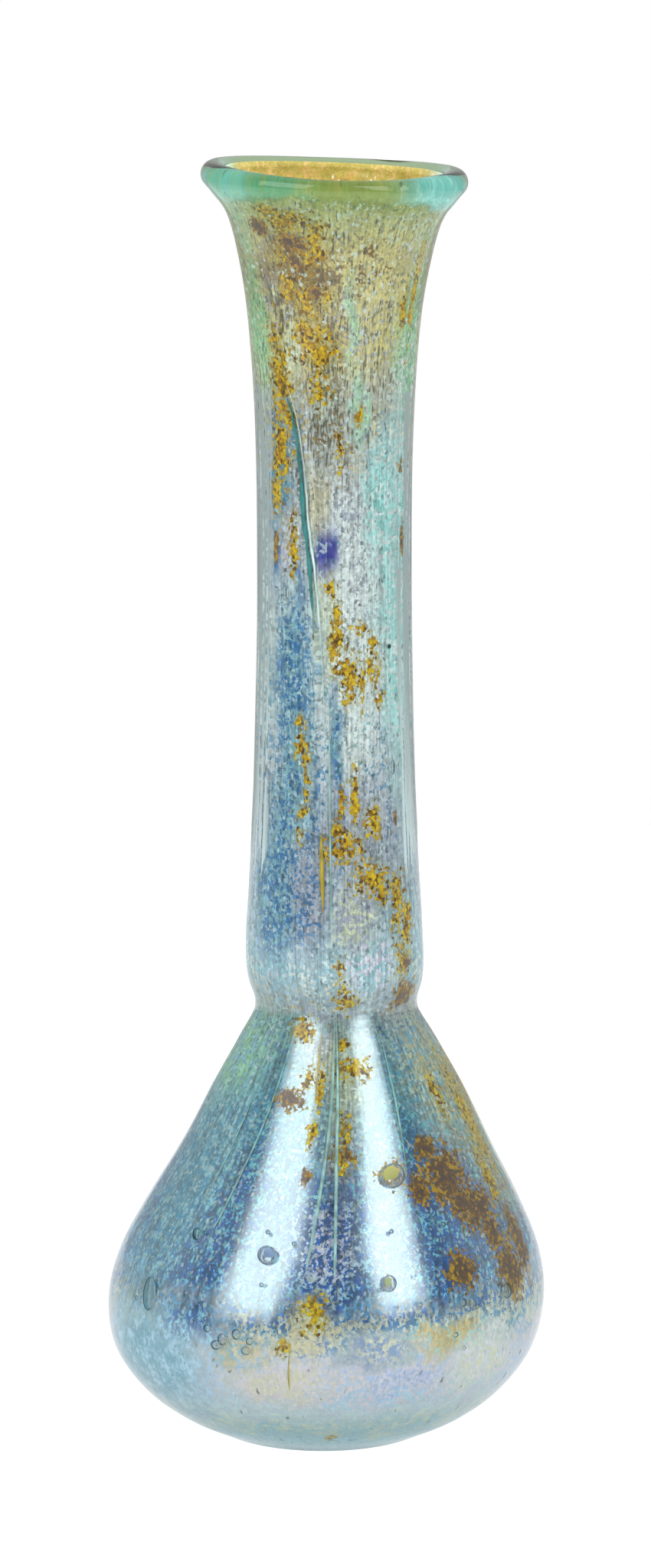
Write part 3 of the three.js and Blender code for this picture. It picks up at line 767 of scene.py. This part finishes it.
# Smaller ones are scattered by chance, most of them low in the body, and drawn out long in the neck.
SEEDED_BUBBLES = 90
draw = np.random.default_rng(7)
angles = draw.uniform(-180, 180, SEEDED_BUBBLES)
levels = draw.choice([14.5, 21, 70], SEEDED_BUBBLES, p=[0.6, 0.25, 0.15])
for angle, height in zip(angles, levels):
    size = draw.uniform(0.2, 0.5)
    drawn_out = 3 if height > 40 else 1
    BUBBLES.append((angle, height + draw.normal(0, height / 8), size * 0.7, size, size * drawn_out))
centres = np.array([in_wall(angle, height, BUBBLE_DEPTH) for angle, height, *_ in BUBBLES])
base = guide("bubbles", hand_shaped(centres))
keep_swell(base, centres, [row[2:] for row in BUBBLES])
voids = made_by(bubbles, base, Material=glass)

# A few bubbles have opened to the hollow and are lined with a matt stain, which shows through the glass
# as a coloured dot: angle, height, width, length, colour.
LININGS = [
    (22, 27.1, 1.8, 1.8, "#f6e31a"), (17, 18.1, 0.8, 1.0, "#cfd566"), (-20, 20.4, 1.2, 1.2, "#8fb2ea"),
    (-58, 15.3, 1.2, 2.2, "#86bccb"), (-47, 21.2, 0.7, 0.9, "#9cc9c0"), (58, 15.6, 0.8, 0.9, "#a9c8d8"),
    (50, 75.3, 0.45, 0.45, "#26323a"),
]
lining = bpy.data.materials.new("stain_lining_open_bubbles")
lining.use_nodes = True
shader = lining.node_tree.nodes["Principled BSDF"]
tint = add_node(lining.node_tree, "ShaderNodeAttribute", attribute_name="tint").outputs["Color"]
lining.node_tree.links.new(tint, shader.inputs["Base Color"])
shader.inputs["Roughness"].default_value = 0.5
centres = hand_shaped(np.array([in_wall(angle, height, LINING_DEPTH) for angle, height, *_ in LININGS]))
base = guide("linings", centres)
keep_swell(base, centres, [(LINING_THICKNESS, *row[2:4]) for row in LININGS])
keep(base, "tint", np.array([linear(row[4])[:3] for row in LININGS]))
linings = made_by(bubbles, base, Material=lining)
linings.flip_normals()
linings.name = "bubble_linings"
linings = stand(linings)

# The bubbles are hollows of the glass itself, so their faces join its mesh.
shell = bmesh.new()
shell.from_mesh(flask.data)
shell.from_mesh(voids)
shell.to_mesh(flask.data)
shell.free()

cords, given = new_tree("cords", [
    ("Paths", "Geometry"), ("Half Thickness", "Float"), ("Smoothing", "Int"), ("Material", "Material"),
])
path = add_node(cords, "GeometryNodeMeshToCurve", {"Mesh": given["Paths"]})
path = add_node(cords, "GeometryNodeCurveSplineType", {"Curve": path}, spline_type="CATMULL_ROM")
path = add_node(cords, "GeometryNodeSetSplineResolution", {0: path, "Resolution": given["Smoothing"]})
along = add_node(cords, "GeometryNodeSplineParameter").outputs["Factor"]
taper = add_node(cords, "ShaderNodeMath", {0: along, 1: math.pi}, operation="MULTIPLY")
taper = add_node(cords, "ShaderNodeMath", {0: taper}, operation="SINE")
taper = add_node(cords, "ShaderNodeMath", {0: taper, 1: 0.5}, operation="POWER")
round_cord = add_node(cords, "GeometryNodeCurvePrimitiveCircle",
                      {"Resolution": 8, "Radius": given["Half Thickness"]})
cord = add_node(cords, "GeometryNodeCurveToMesh",
                {"Curve": path, "Profile Curve": round_cord, "Scale": taper, "Fill Caps": True})
cord = add_node(cords, "GeometryNodeSetShadeSmooth", {"Geometry": cord})
cord = add_node(cords, "GeometryNodeRealizeInstances", {"Geometry": cord})
cord = add_node(cords, "GeometryNodeSetMaterial", {"Geometry": cord, "Material": given["Material"]})
add_node(cords, "NodeGroupOutput", {0: cord})


CORD_GRAIN_WIDTH = 1
CORD_GRAIN_LENGTH = 2


def cord_material(name, hex_colour):
    """A cloudy, uneven thread in the clear wall: glass of another melt in the cords, painted highlight and
    painted shadow along the seam.
    """
    made = bpy.data.materials.new(name)
    made.use_nodes = True
    tree = made.node_tree
    shader = tree.nodes["Principled BSDF"]
    here = add_node(tree, "ShaderNodeTexCoord").outputs["Object"]
    grain = (1 / (CORD_GRAIN_WIDTH * MM), 1 / (CORD_GRAIN_WIDTH * MM), 1 / (CORD_GRAIN_LENGTH * MM))
    here = add_node(tree, "ShaderNodeVectorMath", {0: here, 1: grain}, operation="MULTIPLY")
    uneven = add_node(tree, "ShaderNodeTexNoise", {"Vector": here, "Scale": 1.2, "Detail": 3.0})
    shade = add_node(tree, "ShaderNodeMapRange", {"Value": uneven, 1: 0.35, 2: 0.65, 3: 0.6, 4: 1.1})
    shade = add_node(tree, "ShaderNodeVectorMath",
                     {0: linear(hex_colour)[:3], "Scale": shade}, operation="SCALE")
    tree.links.new(shade.outputs[0], shader.inputs["Base Color"])
    shader.inputs["Roughness"].default_value = 0.4
    return made


# Cords: half their thickness in millimetres, then their path as (angle, height).
PALE_CORDS = [
    (0.16, [(-1, 41.5), (-3, 34), (-5, 28), (-7, 21), (-9, 15)]),
    (0.16, [(0, 41), (0, 34), (0, 27), (1, 20), (1.5, 13)]),
    (0.09, [(-32, 40), (-36, 32), (-41, 24), (-46, 16)]),
    (0.07, [(-46, 38), (-50, 28), (-54, 19)]),
    (0.10, [(33, 39.5), (31, 33), (29, 27)]),
    (0.09, [(-4, 72), (-4, 64), (-3, 56), (-2, 46)]),
]
GOLD_CORDS = [
    (0.2, [(-10, 58.5), (-10, 56.5), (-9, 53), (-8, 50.5)]),
    (0.08, [(-12, 40), (-12, 36), (-12, 33)]),
    (0.08, [(-10, 13), (-10, 9.5), (-9, 6)]),
]


def cord_mesh(rows, material):
    """One mesh of all these cords."""
    whole = bmesh.new()
    for half_thickness, path in rows:
        places = hand_shaped(np.array([in_wall(angle, height, CORD_DEPTH) for angle, height in path]))
        base = guide("cord", places, [(i, i + 1) for i in range(len(path) - 1)])
        made = made_by(cords, base, Half_Thickness=half_thickness * MM, Smoothing=8, Material=material)
        whole.from_mesh(made)
        bpy.data.meshes.remove(made)
    bmesh.ops.recalc_face_normals(whole, faces=whole.faces)
    mesh = bpy.data.meshes.new(material.name)
    whole.to_mesh(mesh)
    whole.free()
    mesh.materials.append(material)
    return mesh


# The seam's light and shade are painted: a white cord for its highlight, a teal cord along its left for its
# shadow.
seam_path = [(angle, height) for height, angle in SEAM]
SHADOW_TURN = 3
shadow_path = [(angle - SHADOW_TURN, height) for height, angle in SEAM[1:]]
painted_seam_highlight = stand(cord_mesh([(0.1, seam_path)], cord_material("bright_fold_of_glass", "#f4fbf8")))
seam_shadow = stand(cord_mesh([(0.12, shadow_path)], cord_material("teal_fold_of_glass", "#4c9c9c")))
pale_cords = stand(cord_mesh(PALE_CORDS, cord_material("pale_glass_cord", "#bcd8d2")))
gold_cords = stand(cord_mesh(GOLD_CORDS, cord_material("stained_glass_cord", "#d8b03a")))

for piece in (flask, coating, linings, pale_cords, gold_cords, painted_seam_highlight, seam_shadow):
    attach(piece, "root")
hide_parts("flask")


# ---- Studio -------------------------------------------------------------------------------------------
# White paper under the flask, matt and evenly lit, so that it shows as plain white, and two tall soft
# boxes in front of it, left and right. The camera sees a white studio. In the glass it is half lit behind
# the flask and dark in front, and matt surfaces get an even fill from all sides.
def soft_box(name, azimuth, elevation, distance, width, height, power):
    """A soft box turned to the flask; azimuth is measured from the front, to the right."""
    light = bpy.data.lights.new(name, "AREA")
    light.shape = "RECTANGLE"
    light.size, light.size_y = width, height
    light.energy = power
    box = bpy.data.objects.new(name, light)
    bpy.context.scene.collection.objects.link(box)
    a, e = math.radians(azimuth), math.radians(elevation)
    centre = Vector((0, 0, 50 * MM))
    direction = Vector((math.sin(a) * math.cos(e), -math.cos(a) * math.cos(e), math.sin(e)))
    box.location = centre + direction * distance
    box.rotation_euler = (-direction).to_track_quat("-Z", "Y").to_euler()


soft_box("softbox_left", -46, 28, 1.2, 0.72, 1.0, 6.2)
soft_box("softbox_right", 41, 28, 1.2, 0.56, 1.0, 5.6)

PAPER_REACH = 0.3
corners = [(PAPER_REACH * x, PAPER_REACH * y, 0) for x, y in ((-1, -1), (1, -1), (1, 1), (-1, 1))]
GLOW_IN_GLASS = 0.65
GLOW_SEEN = 1.1
floor_mesh = bpy.data.meshes.new("floor")
floor_mesh.from_pydata(corners, [], [(0, 1, 2, 3)])
floor = stand(floor_mesh)
paper = bpy.data.materials.new("white_paper")
paper.use_nodes = True
shader = paper.node_tree.nodes["Principled BSDF"]
shader.inputs["Base Color"].default_value = (0.2, 0.2, 0.2, 1)
shader.inputs["Emission Color"].default_value = linear("#ffffff")
tree = paper.node_tree
rays = add_node(tree, "ShaderNodeLightPath").outputs
lit = add_node(tree, "ShaderNodeMath", {0: rays["Is Camera Ray"], 1: rays["Diffuse Depth"]}, operation="ADD")
strength = add_node(tree, "ShaderNodeMapRange", {"Value": lit, 3: GLOW_IN_GLASS, 4: GLOW_SEEN})
tree.links.new(strength.outputs[0], shader.inputs["Emission Strength"])
floor_mesh.materials.append(paper)

FRONT_LEVEL = 0.04
BACK_LEVEL = 0.5
FILL_LEVEL = 1.9
world = bpy.data.worlds.new("studio")
bpy.context.scene.world = world
world.use_nodes = True
tree = world.node_tree
rays = add_node(tree, "ShaderNodeLightPath").outputs
toward = add_node(tree, "ShaderNodeTexCoord").outputs["Generated"]
toward = add_node(tree, "ShaderNodeSeparateXYZ", {0: toward})
beside = add_node(tree, "ShaderNodeMapRange",
                  {"Value": toward.outputs["Y"], 1: -0.25, 2: 0.2, 3: FRONT_LEVEL, 4: BACK_LEVEL})
fill = add_node(tree, "ShaderNodeMath", {0: rays["Diffuse Depth"], 1: 1.0}, operation="MINIMUM")
fill = add_node(tree, "ShaderNodeMath", {0: fill, 1: FILL_LEVEL}, operation="MULTIPLY")
strength = add_node(tree, "ShaderNodeMath", {0: beside, 1: fill}, operation="MAXIMUM")
strength = add_node(tree, "ShaderNodeMath", {0: strength, 1: rays["Is Camera Ray"]}, operation="MAXIMUM")
tree.nodes["Background"].inputs["Color"].default_value = (1, 1, 1, 1)
tree.links.new(strength.outputs[0], tree.nodes["Background"].inputs["Strength"])
bpy.context.scene.view_settings.view_transform = "Standard"
